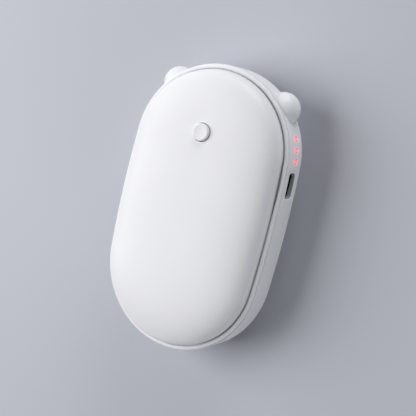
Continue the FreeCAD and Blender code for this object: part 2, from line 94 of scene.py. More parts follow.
def turn(name, description, degrees):
    return FloatProperty(
        name=name, description=description, default=math.radians(degrees), subtype="ANGLE", unit="ROTATION"
    )


def share(name, description, default):
    return FloatProperty(
        name=name, description=description, default=default, min=0, max=1, subtype="FACTOR"
    )


def amount(name, description, default):
    return FloatProperty(name=name, description=description, default=default, min=0)


def watts(name, description, default):
    return FloatProperty(name=name, description=description, default=default, min=0, unit="POWER")


def count(name, description, default):
    return IntProperty(name=name, description=description, default=default, min=1)


def colour(name, description, default):
    return FloatVectorProperty(
        name=name, description=description, default=default, subtype="COLOR", size=3, min=0, max=1
    )


class CasingSizes(PropertyGroup):
    """The oval outline and the sections that are carried round it."""

    half_length: length("Half length", "From the middle to the end with the ears", BAND_HIGH.y)
    half_width: length("Half width", "From the middle to the socket side", 0.0316)
    side_bow: length("Side bow", "How far each long side bows out", 0.0006)
    band_low: length("Band low", "Rear edge of the band", BAND_LOW.z)
    band_high: length("Band high", "Front edge of the band", BAND_HIGH.z)
    front_top: length("Front top", "Crown of the front cover", FRONT_HIGH.z)
    rear_low: length("Rear low", "Pad of the rear cover", REAR_LOW.z)
    front_crown: length("Front crown", "End radius of the level crown in front", 0.00285)
    rear_crown: length("Rear crown", "End radius of the flat pad behind", 0.00685)
    edge_fullness: share("Edge fullness", "How far a cover's curve is drawn up over its edge", 0.85)
    crown_fullness: share("Crown fullness", "How far a cover's curve is drawn out from its crown", 0.7)
    frame_wall: length("Frame wall", "Thickness of the band", 0.00285)
    lip_width: length("Lip width", "From the outline to the inside of the lip", 0.00165)
    lip_setback: length("Lip setback", "How far the lip stands in from the band", 0.0003)
    lip_crown: length("Lip crown", "Rise of the rounded lip", 0.00035)
    crease_drop: length("Crease drop", "From the top of the lip to the crease", 0.0011)
    crease_width: length("Crease width", "Width of the crease under the lip", 0.0003)
    crease_depth: length("Crease depth", "Depth of the crease under the lip", 0.0003)
    shoulder: length("Shoulder", "Rounding of the band beside the crease", 0.0003)
    groove: length("Groove", "Parting gap between lip and cover", 0.0005)
    ledge_depth: length("Ledge depth", "Depth of the ledge that the covers sit on", 0.0011)
    roof_wall: length("Roof wall", "Thickness of the front cover", 0.0028)
    floor_wall: length("Floor wall", "Thickness of the rear cover", 0.0022)
    inner_run: length("Inner run", "Width of the curve inside a cover", 0.012)
    inner_drop: length("Inner drop", "Where that curve starts below the edge", 0.002)
    skirt_gap: length("Skirt gap", "Clearance outside the skirt", 0.0002)
    skirt_wall: length("Skirt wall", "Thickness of the skirt", 0.0012)
    skirt_board_gap: length("Skirt end gap", "From the skirt's end to the board", 0.0006)
    snap_reach: length("Snap reach", "How far the snap ridge stands out", 0.0004)
    snap_height: length("Snap height", "Height of the snap ridge", 0.0008)
    snap_play: length("Snap play", "Room round the snap ridge", 0.00025)
    end_steps: count("End steps", "Facets round each end", 96)
    side_steps: count("Side steps", "Facets along each side", 12)
    dome_steps: count("Dome steps", "Facets from edge to crown", 40)
    inner_steps: count("Inner steps", "Facets of the curve inside a cover", 20)
    lip_steps: count("Lip steps", "Facets over the lip", 10)
    shoulder_steps: count("Shoulder steps", "Facets of the shoulder", 6)


class DetailSizes(PropertyGroup):
    """Ears, button, socket mouth, lights, screw bosses and foam."""

    ear_angle: turn("Ear angle", "Place of each ear on the round end", 43.8)
    ear_radius: length("Ear radius", "Radius of an ear across the band", 0.006)
    ear_depth: length("Ear depth", "Half height of an ear", 0.0056)
    ear_proud: length("Ear proud", "How far an ear stands out of the band", 0.0048)
    ear_offset: length("Ear offset", "How far the ears sit behind mid height", 0.0003)
    ear_wall: length("Ear wall", "Wall left outside an ear's pocket", 0.0022)
    ear_pocket: length("Ear pocket", "Radius of the pocket inside an ear", 0.0026)
    ear_steps: count("Ear steps", "Facets round an ear", 96)
    ear_rings: count("Ear rings", "Facets from pole to pole of an ear", 64)
    ear_trim_steps: count("Ear trim steps", "Facets of the cutter that trims the ears inside", 256)
    button_radius: length("Button radius", "Radius of the cap", 0.0031)
    button_gap: length("Button gap", "Gap round the cap", 0.00025)
    button_edge: length("Button edge", "Rounding of the cap's edge", 0.0005)
    button_dish: length("Button dish", "Depth of the dish in the cap", 0.00018)
    flange_height: length("Flange height", "Thickness of the flange under the cover", 0.001)
    stem_rib: length("Stem rib", "Thickness of the stem's ribs", 0.0012)
    stem_width: length("Stem width", "Width of the stem's ribs", 0.0044)
    button_steps: count("Button steps", "Facets round the cap and its hole", 96)
    edge_steps: count("Edge steps", "Facets of the cap's edge", 8)
    dish_steps: count("Dish steps", "Facets from the middle of the dish to its edge", 12)
    hole_round: length("Hole round", "Rounding of the button hole", 0.00025)
    hole_lift: length("Hole lift", "How far that rounding runs on above the crown", 0.00004)
    hole_steps: count("Hole steps", "Facets of that rounding", 6)
    mouth_gap: length("Mouth gap", "Clearance round the socket", 0.00015)
    mouth_room: length("Mouth room", "Clearance above and below the socket", 0.001)
    mouth_corner: length("Mouth corner", "Corner radius of the socket's opening", 0.0013)
    mouth_round: length("Mouth round", "Rounding of the socket's opening", 0.00018)
    mouth_steps: count("Mouth steps", "Facets of the opening's corners", 12)
    rim_steps: count("Rim steps", "Facets of the roundings of the opening and the pins", 3)
    # Painted shade in the socket's mouth: grey painted where the deep mouth lies in shadow, by distance
    # from a point behind it
    painted_mouth_shade_depth: length("Lining depth", "From the band's face to a point behind the socket's mouth", 0.006)
    painted_mouth_shade_drop: length("Lining drop", "How far that point lies below the socket", 0.002)
    painted_mouth_shade_near: length("Lining near", "Distance from there at which the mouth is grey", 0.00562)
    painted_mouth_shade_far: length("Lining far", "Distance from there at which the band is white", 0.0058)
    painted_mouth_shade_squash: FloatVectorProperty(
        name="Lining squash", description="Scale of that distance along each axis", default=(1, 0.35, 0.5),
        subtype="XYZ",
    )
    light_rise: length("Light rise", "From the socket to the middle light", 0.0125)
    light_pitch: length("Light pitch", "From one light to the next", 0.00395)
    light_radius: length("Light radius", "Radius of a light's pin", 0.001)
    light_gap: length("Light gap", "Clearance round a pin", 0.0001)
    light_setback: length("Light setback", "How far a pin sits under the band's face", 0.00005)
    light_round: length("Light round", "Rounding of a pin's end", 0.0002)
    pipe_gap: length("Pipe gap", "From the band's inside to the light bar", 0.0003)
    pipe_depth: length("Pipe depth", "Thickness of the light bar", 0.0014)
    pipe_height: length("Pipe height", "Height of the light bar", 0.0014)
    pipe_margin: length("Pipe margin", "From the last pin to the bar's end", 0.0022)
    pipe_steps: count("Pipe steps", "Facets along the light bar", 24)
    glow_reach: length("Glow reach", "How far the lights glow along the band", 0.002)
    glow_stretch: amount("Glow stretch", "Height of the glow over its width", 2.2)
    pad_height: length("Pad height", "From the chassis plate to the board", 0.0004)
    boss_inset: length("Boss inset", "From the outline to a screw boss", 0.0072)
    boss_radius: length("Boss radius", "Radius of a screw boss", 0.0024)
    boss_rib: length("Boss rib", "Thickness of the rib behind a boss", 0.0016)
    boss_gap: length("Boss gap", "From a boss to the front skirt's end", 0.0004)
    boss_end: length("Boss end", "Wall left above a screw hole", 0.0006)
    thread_radius: length("Thread radius", "Radius of a screw hole", 0.00105)
    upper_boss: turn("Upper boss", "Place of the upper bosses on the round end", 60)
    lower_boss: turn("Lower boss", "Place of the lower bosses on the round end", 70)
    foam_round: length("Foam round", "Rounding of the foam's edges", 0.0008)
    foam_steps: count("Foam steps", "Facets round a foam pad's end", 48)
    foam_edge_steps: count("Foam edge steps", "Facets of the foam's edges", 4)
    overrun: length("Overrun", "How far a cutter runs past what it cuts", 0.002)


class FinishColours(PropertyGroup):
    """Colours of the mouldings and of the parts inside."""

    shell: colour("Shell", "White of the moulded casing", (0.83, 0.83, 0.86))
    # Grey of the painted shade inside the socket's mouth
    painted_mouth_shade: colour("Painted mouth shade", "Inside of the socket's mouth", (0.43, 0.43, 0.445))
    button: colour("Button", "White of the button", (0.82, 0.82, 0.85))
    light: colour("Light", "Colour of the lit pins", (1.0, 0.045, 0.055))
    light_core: colour("Light core", "Hot middle of the lit pins", (1.0, 0.36, 0.35))
    light_strength: amount("Light strength", "Emission of the lit pins", 0.55)
    glow_strength: amount("Glow strength", "Emission of the band beside them", 0.35)
    plating: colour("Plating", "Dark plating of the socket", (0.06, 0.06, 0.065))
    steel: colour("Steel", "Plated screws", (0.6, 0.6, 0.62))
    aluminium: colour("Aluminium", "Plates that spread the heat", (0.7, 0.71, 0.72))
    gold: colour("Gold", "Plated contacts", (0.83, 0.62, 0.25))
    black: colour("Black", "Black plastic and epoxy", (0.02, 0.02, 0.022))
    ferrite: colour("Ferrite", "Core of the coil", (0.07, 0.07, 0.075))
    ceramic: colour("Ceramic", "Bodies of the capacitors", (0.42, 0.29, 0.18))
    phosphor: colour("Phosphor", "Faces of the lamp chips", (0.78, 0.72, 0.56))
    board: colour("Board", "Solder mask", (0.02, 0.16, 0.07))
    chassis: colour("Chassis", "Grey inner moulding", (0.33, 0.34, 0.36))
    wrap: colour("Wrap", "Wrap of the cell", (0.16, 0.27, 0.46))
    film: colour("Film", "Amber heater film", (0.52, 0.21, 0.035))
    foam: colour("Foam", "Foam pads", (0.055, 0.055, 0.06))
    red_wire: colour("Red wire", "Lead to the cell's plus side", (0.5, 0.02, 0.02))
    white_wire: colour("White wire", "Leads of the heaters and the sensor", (0.7, 0.7, 0.7))
    floor: colour("Floor", "Pale floor", (0.5, 0.515, 0.57))


class StageSettings(PropertyGroup):
    """Camera, lamps and floor."""

    azimuth: turn("Azimuth", "Camera's bearing from the socket side", 18.606)
    elevation: turn("Elevation", "Camera's height above the floor", 62.158)
    roll: turn("Roll", "Turn of the picture", -92.775)
    distance: length("Distance", "From the camera to its aim", 0.32808)
    aim: FloatVectorProperty(
        name="Aim", description="Point that the camera looks at", default=(0.00219, 0.00071, 0.0135),
        subtype="XYZ", unit="LENGTH",
    )
    lens: amount("Lens", "Focal length in millimetres", 77.885)
    lamp_distance: length("Lamp distance", "From each lamp to the camera's aim", 0.85)
    key_power: watts("Key power", "Power of the key lamp", 7.8)
    key_bearing: turn("Key bearing", "Key lamp's bearing from the socket side", 183)
    key_rise: turn("Key rise", "Key lamp's height above the floor", 45)
    key_size: length("Key size", "Width of the key lamp", 0.75)
    back_power: watts("Back power", "Power of the lamp beyond the ears", 5.1)
    back_bearing: turn("Back bearing", "Back lamp's bearing from the socket side", 80)
    fill_power: watts("Fill power", "Power of the fill lamp", 1.95)
    fill_bearing: turn("Fill bearing", "Fill lamp's bearing from the socket side", 320)
    low_rise: turn("Low rise", "Height of the back and fill lamps above the floor", 10)
    low_size: length("Low size", "Width of the back and fill lamps", 0.5)
    sky: amount("Sky", "Strength of the even light", 0.14)
    sky_tone: colour("Sky tone", "Colour of the even light", (0.93, 0.95, 1.0))
    floor_size: length("Floor size", "Width of the floor", 6)


# Modelling steps

def clear_selection():
    if bpy.context.object and bpy.context.object.mode != "OBJECT":
        bpy.ops.object.mode_set(mode="OBJECT")
    bpy.ops.object.select_all(action="DESELECT")


def make_active(piece):
    clear_selection()
    piece.select_set(True)
    bpy.context.view_layer.objects.active = piece


def name_piece(name):
    piece = bpy.context.object
    piece.name = name
    piece.data.name = name
    return piece


def draw_profile(name, points, closed=False):
    """A piece that is only a line of edges through the points, left in edit mode with all selected."""
    clear_selection()
    bpy.ops.mesh.primitive_plane_add(size=SAME_PLACE, location=points[0])
    bpy.ops.object.transform_apply(location=True)
    piece = name_piece(name)
    bpy.ops.object.mode_set(mode="EDIT")
    bpy.ops.mesh.select_mode(type="VERT")
    bpy.ops.mesh.select_all(action="SELECT")
    bpy.ops.mesh.merge(type="CENTER")
    for here, there in zip(points, points[1:]):
        bpy.ops.mesh.extrude_region_move(TRANSFORM_OT_translate={"value": there - here})
    if closed:
        select_points(piece, lambda place: (place - points[0]).length < SAME_PLACE
                      or (place - points[-1]).length < SAME_PLACE)
        bpy.ops.mesh.edge_face_add()
    bpy.ops.mesh.select_all(action="SELECT")
    return piece


def select_points(piece, test):
    """Selects the points that pass a test of their place, in edit mode."""
    bpy.ops.mesh.select_mode(type="VERT")
    bpy.ops.mesh.select_all(action="DESELECT")
    mesh = bmesh.from_edit_mesh(piece.data)
    for point in mesh.verts:
        point.select = test(point.co)
    mesh.select_flush_mode()
    bmesh.update_edit_mesh(piece.data)


def select_edges(piece, test):
    """Selects the edges that pass a test of their two ends and of the turn between their faces."""
    bpy.ops.mesh.select_mode(type="EDGE")
    bpy.ops.mesh.select_all(action="DESELECT")
    mesh = bmesh.from_edit_mesh(piece.data)
    chosen = []
    for edge in mesh.edges:
        first, last = edge.verts
        if test(first.co, last.co, edge.calc_face_angle(0)):
            chosen.append(edge)
    if not chosen:
        raise RuntimeError(piece.name + " has no such edge")
    for edge in chosen:
        edge.select = True
    mesh.select_flush_mode()
    bmesh.update_edit_mesh(piece.data)


def round_sharp_edges(piece, radius, segments, test):
    """Rounds the sharp edges whose two ends pass a test of their place."""
    make_active(piece)
    bpy.ops.object.mode_set(mode="EDIT")
    select_edges(piece, lambda first, last, angle: angle > ROUND_TURN and test(first) and test(last))
    bpy.ops.mesh.bevel(offset=radius, segments=segments, affect="EDGES")
    bpy.ops.object.mode_set(mode="OBJECT")


def close_skin(piece):
    """Merges doubled points, fills open loops, turns the faces outwards and leaves edit mode."""
    bpy.ops.mesh.select_all(action="SELECT")
    bpy.ops.mesh.remove_doubles(threshold=SAME_PLACE)
    bpy.ops.mesh.fill_holes(sides=0)
    bpy.ops.mesh.select_all(action="SELECT")
    bpy.ops.mesh.normals_make_consistent(inside=False)
    bpy.ops.object.mode_set(mode="OBJECT")


def mend_skin(piece):
    """Merges the points that cuts and joins leave doubled."""
    make_active(piece)
    bpy.ops.object.mode_set(mode="EDIT")
    close_skin(piece)


def combine(piece, tool, operation):
    """Cuts, joins or trims a piece by another, which is used up."""
    make_active(piece)
    step = piece.modifiers.new(operation.title(), "BOOLEAN")
    step.operation = operation
    step.solver = "EXACT"
    step.object = tool
    bpy.ops.object.modifier_apply(modifier=step.name)
    bpy.data.objects.remove(tool)


def place_in_mesh():
    bpy.ops.object.transform_apply(location=True, rotation=True, scale=True)


def rod(name, radius, start, end, steps=ROD_STEPS):
    """A round bar between two points."""
    clear_selection()
    way = end - start
    bpy.ops.mesh.primitive_cylinder_add(
        vertices=steps, radius=radius, depth=way.length, location=(start + end) / 2,
        rotation=way.to_track_quat("Z", "Y").to_euler(),
    )
    place_in_mesh()
    return name_piece(name)


def bar(name, middle, size, angle=0):
    """A straight-edged bar, turned about the upright through its middle."""
    clear_selection()
    bpy.ops.mesh.primitive_cube_add(size=1, location=middle, rotation=(0, 0, angle), scale=size)
    place_in_mesh()
    return name_piece(name)


def turned_piece(name, section, centre, steps):
    """A piece turned about the upright through a centre, from its section as (reach, height)."""
    points = [Vector((centre.x + reach, centre.y, height)) for reach, height in section]
    piece = draw_profile(name, points)
    bpy.ops.mesh.spin(steps=steps, angle=2 * math.pi, center=centre, axis=(0, 0, 1), use_auto_merge=True)
    close_skin(piece)
    return piece


def dress(piece, finish, body, slot, *nodes, smooth=SMOOTH_TURN):
    """Gives a finished piece its shading and finish, sets it on its body and hides the nodes that it stands
    for.
    """
    make_active(piece)
    bpy.ops.object.shade_smooth_by_angle(angle=smooth)
    piece.data.materials.clear()
    piece.data.materials.append(finish)
    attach(piece, body)
    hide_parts(*nodes)


# The oval

class Oval:
    """Two round ends joined by two slightly bowed sides, as centres, radii and angles."""

    def __init__(self, sizes):
        self.end_radius = sizes.half_width - sizes.side_bow
        self.end_centre = sizes.half_length - self.end_radius
        bow = sizes.half_width ** 2 + self.end_centre ** 2 - self.end_radius ** 2
        self.side_radius = bow / (2 * sizes.side_bow)
        self.side_centre = self.side_radius - sizes.half_width
        self.join = math.atan2(self.end_centre, self.side_centre)
        end_turn = math.pi - 2 * self.join
        self.arcs = (
            (Vector((-self.side_centre, 0, 0)), 2 * self.join, sizes.side_steps),
            (Vector((0, self.end_centre, 0)), end_turn, sizes.end_steps),
            (Vector((self.side_centre, 0, 0)), 2 * self.join, sizes.side_steps),
            (Vector((0, -self.end_centre, 0)), end_turn, sizes.end_steps),
        )

    def at(self, inset, height):
        """A profile point where the carrying round starts, by its distance in from the outline."""
        reach = self.side_radius - inset
        along, across = reach * math.sin(self.join), reach * math.cos(self.join)
        return Vector((across - self.side_centre, -along, height))

    def on_end(self, reach, angle, height, end=1):
        """A point at an angle about the middle of a round end."""
        return Vector((reach * math.cos(angle), end * self.end_centre + reach * math.sin(angle), height))

    def carried_piece(self, name, section, middle, side=1, closed=False):
        """A piece whose section, as (inset, height from a middle), is carried round the whole oval."""
        points = [self.at(inset, middle + side * height) for inset, height in section]
        piece = draw_profile(name, points, closed)
        for centre, angle, steps in self.arcs:
            bpy.ops.mesh.spin(
                steps=steps, angle=angle, center=centre, axis=(0, 0, -1), use_auto_merge=False
            )
        close_skin(piece)
        return piece


def mid_height(sizes):
    return (sizes.band_low + sizes.band_high) / 2


def skirt_end(sizes):
    """How far from mid height the covers' skirts end."""
    return mid_height(sizes) - BOARD_LOW.z + sizes.skirt_board_gap


def ellipse_run(first, last, steps):
    """Points on a quarter of an ellipse from its level end to its upright end, as (inset, height)."""
    angles = [math.pi / 2 * (1 - step / steps) for step in range(steps + 1)]
    run, rise = first[0] - last[0], first[1] - last[1]
    return [(first[0] - run * math.cos(angle), last[1] + rise * math.sin(angle)) for angle in angles]


def pillow_run(crown, edge, steps, sizes):
    """Points on one smooth curve from a level crown to an upright edge, as (inset, height)."""
    crown, edge = Vector(crown), Vector(edge)
    corner = Vector((edge.x, crown.y))
    beside_crown = crown.lerp(corner, sizes.crown_fullness)
    over_edge = edge.lerp(corner, sizes.edge_fullness)
    return [tuple(place) for place in interpolate_bezier(crown, beside_crown, over_edge, edge, steps + 1)]


def arc_run(first, last, crown, steps):
    """Points on a low arc between two points at one height, sunk if the crown is below them."""
    half = (first[0] - last[0]) / 2
    radius = (half ** 2 + crown ** 2) / (2 * crown)
    middle = (first[0] + last[0]) / 2
    offsets = [half * (1 - 2 * step / steps) for step in range(steps + 1)]
    base = first[1] + crown - radius
    rises = [math.copysign(math.sqrt(radius ** 2 - offset ** 2), crown) for offset in offsets]
    return [(middle + offset, base + rise) for offset, rise in zip(offsets, rises)]


# Covers

def model_cover(name, sizes, rise, crown_radius, wall, side):
    """A domed shell with its skirt and snap ridge, drawn as heights from mid height."""
    oval = Oval(sizes)
    half_band = (sizes.band_high - sizes.band_low) / 2
    top, under = half_band + rise, half_band + rise - wall
    edge = sizes.lip_width + sizes.groove
    crown = oval.end_radius - crown_radius
    ledge = half_band - sizes.ledge_depth
    outside = sizes.frame_wall + sizes.skirt_gap
    inside = outside + sizes.skirt_wall
    low = skirt_end(sizes)
    snap = (ledge + low) / 2
    half_snap = sizes.snap_height / 2
    inner_start = (inside, half_band - sizes.inner_drop)
    section = pillow_run((crown, top), (edge, half_band), sizes.dome_steps, sizes)
    section += [(edge, ledge), (outside, ledge), (outside, snap + half_snap)]
    section += [(outside - sizes.snap_reach, snap), (outside, snap - half_snap)]
    section += [(outside, low), (inside, low)]
    inner_end = (inside + sizes.inner_run, under)
    section += reversed(pillow_run(inner_end, inner_start, sizes.inner_steps, sizes))
    section += [(crown, under)]
    return oval.carried_piece(name, section, mid_height(sizes), side)


def flared_drill(centre, radius, sizes, details):
    """A round cutter that widens in a curve at the crown, so that the rim of its hole is rounded."""
    flare, top = details.hole_round, sizes.front_top
    over = top + details.overrun
    section = [(0, sizes.band_high), (radius, sizes.band_high)]
    rim = (radius + flare, top + details.hole_lift)
    section += reversed(ellipse_run(rim, (radius, top - flare), details.hole_steps))
    section += [(radius + flare, over), (0, over)]
    return turned_piece("button_drill", section, centre, details.button_steps)


class HANDWARMER_OT_front_cover(Operator):
    """Models the domed front cover with its button hole"""

    bl_idname = "hand_warmer.front_cover"
    bl_label = "Front Cover"

    def execute(self, context):
        sizes, details = context.scene.hand_warmer_casing, context.scene.hand_warmer_details
        rise = sizes.front_top - sizes.band_high
        piece = model_cover("front_cover_shell", sizes, rise, sizes.front_crown, sizes.roof_wall, 1)
        centre = (CAP_LOW + CAP_HIGH) / 2
        hole = details.button_radius + details.button_gap
        combine(piece, flared_drill(centre, hole, sizes, details), "DIFFERENCE")
        finish = grained("shell_front", finish_colours().shell, **MOULDED)
        dress(piece, finish, "casing", "shell", "front_cover", smooth=CROWN_TURN)
        return {"FINISHED"}


class HANDWARMER_OT_rear_cover(Operator):
    """Models the rear cover with its flat pad"""

    bl_idname = "hand_warmer.rear_cover"
    bl_label = "Rear Cover"

    def execute(self, context):
        sizes = context.scene.hand_warmer_casing
        rise = sizes.band_low - sizes.rear_low
        piece = model_cover("rear_cover_shell", sizes, rise, sizes.rear_crown, sizes.floor_wall, -1)
        finish = grained("shell_rear", finish_colours().shell, **MOULDED)
        dress(piece, finish, "casing", "shell", "rear_cover")
        return {"FINISHED"}


# Middle frame

def frame_section(sizes):
    """The band's closed section, as distances in from the outline and heights from mid height."""
    half_band = (sizes.band_high - sizes.band_low) / 2
    ledge = half_band - sizes.ledge_depth
    lip_edge = half_band - sizes.lip_crown
    crease = half_band - sizes.crease_drop
    snap = (ledge + skirt_end(sizes)) / 2
    reach = sizes.snap_height / 2 + sizes.snap_play
    snap_in = sizes.frame_wall + sizes.skirt_gap - sizes.snap_reach - sizes.snap_play
    half = [(sizes.frame_wall, snap - reach), (snap_in, snap - reach), (snap_in, snap + reach)]
    half += [(sizes.frame_wall, snap + reach), (sizes.frame_wall, ledge), (sizes.lip_width, ledge)]
    lip = (sizes.lip_width, lip_edge), (sizes.lip_setback, lip_edge)
    half += arc_run(*lip, sizes.lip_crown, sizes.lip_steps)
    half_crease = sizes.crease_width / 2
    half += [(sizes.lip_setback, crease + half_crease), (sizes.lip_setback + sizes.crease_depth, crease)]
    shoulder = (sizes.lip_setback, crease - half_crease), (0, crease - half_crease - sizes.shoulder)
    half += ellipse_run(*shoulder, sizes.shoulder_steps)
    return half + [(inset, -height) for inset, height in reversed(half)]


def ear_angles(details):
    return details.ear_angle, math.pi - details.ear_angle


def add_ears(piece, sizes, details):
    """Joins two knobs to the band, trimmed inside it and hollowed by a round pocket."""
    oval = Oval(sizes)
    height = mid_height(sizes) - details.ear_offset
    for angle in ear_angles(details):
        clear_selection()
        place = oval.on_end(oval.end_radius + details.ear_proud - details.ear_radius, angle, height)
        bpy.ops.mesh.primitive_uv_sphere_add(
            segments=details.ear_steps, ring_count=details.ear_rings, radius=details.ear_radius,
            location=place, rotation=(0, 0, angle),
        )
        bpy.ops.transform.resize(value=(1, 1, details.ear_depth / details.ear_radius))
        place_in_mesh()
        ear = name_piece("ear_knob")
        low, high = Vector((0, oval.end_centre, 0)), Vector((0, oval.end_centre, sizes.front_top))
        trim_radius = oval.end_radius - sizes.lip_width / 2
        combine(ear, rod("ear_trim", trim_radius, low, high, details.ear_trim_steps), "DIFFERENCE")
        combine(piece, ear, "UNION")
    for angle in ear_angles(details):
        start = oval.on_end(oval.end_radius - sizes.frame_wall - details.overrun, angle, height)
        end = oval.on_end(oval.end_radius + details.ear_proud - details.ear_wall, angle, height)
        combine(piece, rod("ear_pocket", details.ear_pocket, start, end), "DIFFERENCE")


def boss_places(details):
    """Angle, end and lowest face of each screw boss."""
    chassis_top = BOARD_LOW.z - details.pad_height
    upper = [(angle, 1, BOARD_HIGH.z) for angle in (details.upper_boss, math.pi - details.upper_boss)]
    lower = [(angle, -1, chassis_top) for angle in (-details.lower_boss, details.lower_boss - math.pi)]
    return upper + lower


def add_bosses(piece, sizes, details):
    """Joins four screw bosses to the inside of the band, each on a rib and with its hole."""
    oval = Oval(sizes)
    reach = oval.end_radius - details.boss_inset
    weld = oval.end_radius - sizes.frame_wall + sizes.lip_setback
    high = mid_height(sizes) + skirt_end(sizes) - details.boss_gap
    for angle, end, low in boss_places(details):
        foot, top = oval.on_end(reach, angle, low, end), oval.on_end(reach, angle, high, end)
        boss = rod("screw_boss", details.boss_radius, foot, top)
        size = (weld - reach, details.boss_rib, high - low)
        middle = oval.on_end((reach + weld) / 2, angle, (low + high) / 2, end)
        combine(boss, bar("boss_rib", middle, size, angle), "UNION")
        start, stop = foot - Vector((0, 0, details.overrun)), top - Vector((0, 0, details.boss_end))
        combine(boss, rod("thread_drill", details.thread_radius, start, stop), "DIFFERENCE")
        combine(piece, boss, "UNION")


def light_places(sizes, details):
    """The three lights on the band's face, with their angles about the round end."""
    oval = Oval(sizes)
    socket = (SOCKET_LOW + SOCKET_HIGH) / 2
    height = BOARD_HIGH.z + details.pipe_height / 2
    middle = math.asin((socket.y + details.light_rise - oval.end_centre) / oval.end_radius)
    step = details.light_pitch / oval.end_radius
    angles = [middle + number * step for number in (-1, 0, 1)]
    return [(angle, oval.on_end(oval.end_radius, angle, height)) for angle in angles]


def cut_socket_mouth(piece, sizes, details):
    """Cuts the socket's opening with round corners and softens its rim."""
    gap = Vector((0, details.mouth_gap, details.mouth_room))
    low, high = SOCKET_LOW - gap, SOCKET_HIGH + gap
    start = sizes.half_width - sizes.frame_wall - details.overrun
    end = sizes.half_width + details.overrun
    middle = Vector(((start + end) / 2, (low.y + high.y) / 2, (low.z + high.z) / 2))
    mouth = bar("socket_cutter", middle, (end - start, high.y - low.y, high.z - low.z))
    bpy.ops.object.mode_set(mode="EDIT")
    select_edges(mouth, lambda first, last, angle: abs(first.x - last.x) > details.overrun)
    bpy.ops.mesh.bevel(offset=details.mouth_corner, segments=details.mouth_steps, affect="EDGES")
    bpy.ops.object.mode_set(mode="OBJECT")
    combine(piece, mouth, "DIFFERENCE")
    low, high = low - gap, high + gap
    face = sizes.half_width - sizes.frame_wall / 2

    def on_rim(place):
        return place.x > face and low.y < place.y < high.y and low.z < place.z < high.z

    round_sharp_edges(piece, details.mouth_round, details.rim_steps, on_rim)


class HANDWARMER_OT_middle_frame(Operator):
    """Models the band with its lips, ears, socket mouth and light holes"""

    bl_idname = "hand_warmer.middle_frame"
    bl_label = "Middle Frame"

    def execute(self, context):
        sizes, details = context.scene.hand_warmer_casing, context.scene.hand_warmer_details
        oval = Oval(sizes)
        section, middle = frame_section(sizes), mid_height(sizes)
        piece = oval.carried_piece("middle_frame_band", section, middle, closed=True)
        add_ears(piece, sizes, details)
        add_bosses(piece, sizes, details)
        hole = details.light_radius + details.light_gap
        for angle, place in light_places(sizes, details):
            inner = oval.on_end(oval.end_radius - sizes.frame_wall - details.overrun, angle, place.z)
            outer = oval.on_end(oval.end_radius + details.overrun, angle, place.z)
            combine(piece, rod("light_drill", hole, inner, outer), "DIFFERENCE")
        cut_socket_mouth(piece, sizes, details)
        mend_skin(piece)
        places = [place for _, place in light_places(sizes, details)]
        finish = glowing_band("shell_band", places, sizes, details)
        dress(piece, finish, "casing", "shell", "middle_frame")
        return {"FINISHED"}


# Button

class HANDWARMER_OT_power_button(Operator):
    """Models the round cap with its flange and cross-ribbed stem"""

    bl_idname = "hand_warmer.power_button"
    bl_label = "Power Button"

    def execute(self, context):
        sizes, details = context.scene.hand_warmer_casing, context.scene.hand_warmer_details
        centre = (CAP_LOW + CAP_HIGH) / 2
        radius, top = details.button_radius, CAP_HIGH.z
        roof = sizes.front_top - sizes.roof_wall
        bottom = roof - details.flange_height
        flange = (CAP_HIGH.x - CAP_LOW.x) / 2
        inner = radius - details.button_edge
        dish = arc_run((inner, top), (-inner, top), -details.button_dish, 2 * details.dish_steps)
        edge = ellipse_run((inner, top), (radius, top - details.button_edge), details.edge_steps)
        section = [(-reach, height) for reach, height in dish[details.dish_steps:]] + edge[1:]
        section += [(radius, roof), (flange, roof), (flange, bottom), (0, bottom)]
        piece = turned_piece("power_button_cap", section, centre, details.button_steps)
        stem = Vector((centre.x, centre.y, (CAP_LOW.z + bottom) / 2))
        tall = bottom - CAP_LOW.z
        rib = (details.stem_width, details.stem_rib)
        for across, along in (rib, reversed(rib)):
            combine(piece, bar("stem_rib", stem, (across, along, tall)), "UNION")
        finish = grained("button_white", finish_colours().button, **MOULDED)
        dress(piece, finish, "button", "button", "power_button")
        return {"FINISHED"}


# Lights

class HANDWARMER_OT_indicator_lights(Operator):
    """Models the clear bar with its three lit pins"""

    bl_idname = "hand_warmer.indicator_lights"
    bl_label = "Indicator Lights"

    def execute(self, context):
        sizes, details = context.scene.hand_warmer_casing, context.scene.hand_warmer_details
        oval = Oval(sizes)
        places = light_places(sizes, details)
        margin = details.pipe_margin / oval.end_radius
        first, last = places[0][0] - margin, places[-1][0] + margin
        outside = oval.end_radius - sizes.frame_wall - details.pipe_gap
        inside = outside - details.pipe_depth
        low, high = BOARD_HIGH.z, BOARD_HIGH.z + details.pipe_height
        corners = [(inside, low), (outside, low), (outside, high), (inside, high)]
        points = [oval.on_end(reach, first, height) for reach, height in corners]
        piece = draw_profile("indicator_light_bar", points, closed=True)
        centre = Vector((0, oval.end_centre, 0))
        bpy.ops.mesh.spin(
            steps=details.pipe_steps, angle=last - first, center=centre,
            axis=(0, 0, -1), use_auto_merge=False,
        )
        close_skin(piece)
        for angle, place in places:
            start = oval.on_end(inside + details.pipe_depth / 2, angle, place.z)
            end = oval.on_end(oval.end_radius - details.light_setback, angle, place.z)
            pin = rod("light_pin", details.light_radius, start, end)

            def at_end(place):
                return (place - end).length < (place - start).length

            round_sharp_edges(pin, details.light_round, details.rim_steps, at_end)
            combine(piece, pin, "UNION")
        finish = lit_pins("lit_pins", [place for _, place in places], details)
        dress(piece, finish, "casing", "light_pipe", "indicator_light_pipe")
        return {"FINISHED"}


# Foam

